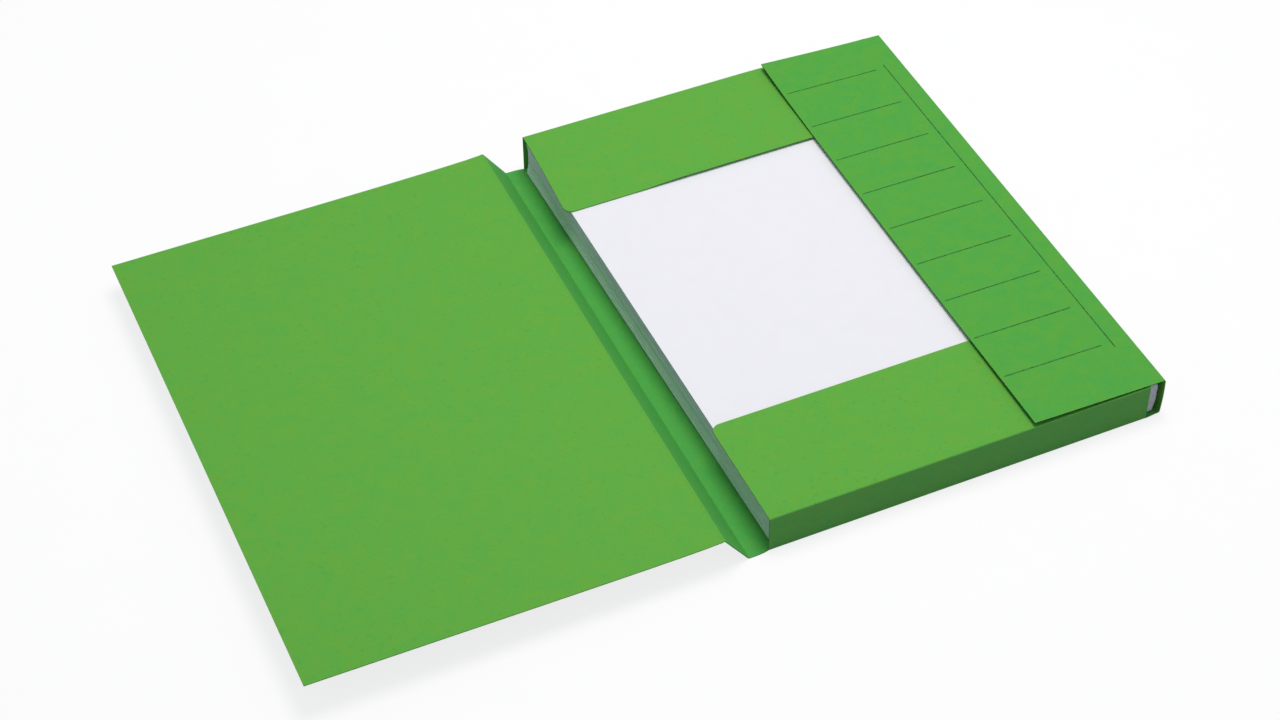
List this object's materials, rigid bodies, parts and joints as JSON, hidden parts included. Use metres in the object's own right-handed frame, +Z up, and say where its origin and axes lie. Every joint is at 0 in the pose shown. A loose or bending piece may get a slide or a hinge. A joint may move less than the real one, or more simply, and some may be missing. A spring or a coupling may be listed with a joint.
{
  "type": "three flap folder",
  "caption": "Open three flap document folder of folded green card, with a cover on a spine strip, two end flaps, a ruled side flap and a stack of A4 paper inside.",
  "frame": {"origin": "on the surface that the folder lies on, under the middle of the open folder's bounding box", "axes": "+X from the open cover towards the side wall, +Y along the folds from the near end wall to the far one, +Z up"},
  "size_m": [0.4474, 0.304, 0.0249],
  "materials": {
    "green_card": "matt, slightly mottled through-dyed card",
    "white_paper": "matt white copier paper"
  },
  "bodies": {
    "folder_back": {"back_panel": "green_card", "paper_stack": "white_paper"},
    "spine_strip": {"spine": "green_card"},
    "cover": {"front_cover": "green_card"},
    "side_wall_strip": {"side_wall": "green_card"},
    "side_flap_panel": {"side_flap": "green_card"}
  },
  "joints": [
    {"name": "spine_fold", "type": "hinge", "parent": "folder_back", "child": "spine_strip", "pos_m": [-0.00388, 0, 0.00025], "axis": [0, 1, 0], "range_deg": [0, 35]},
    {"name": "cover_fold", "type": "hinge", "parent": "spine_strip", "child": "cover", "pos_m": [-0.01672, 0, 0.0186], "axis": [0, 1, 0], "range_deg": [0, 143.5]},
    {"name": "side_wall_fold", "type": "hinge", "parent": "folder_back", "child": "side_wall_strip", "pos_m": [0.22347, 0, 0.00025], "axis": [0, 1, 0], "range_deg": [0, 89]},
    {"name": "side_flap_fold", "type": "hinge", "parent": "side_wall_strip", "child": "side_flap_panel", "pos_m": [0.22347, 0, 0.02285], "axis": [0, 1, 0], "range_deg": [0, 88.6]}
  ],
  "couplings": [
    {"joint": "spine_fold", "follows": "cover_fold", "ratio": 0.2439},
    {"joint": "side_wall_fold", "follows": "side_flap_fold", "ratio": 1.0045}
  ]
}
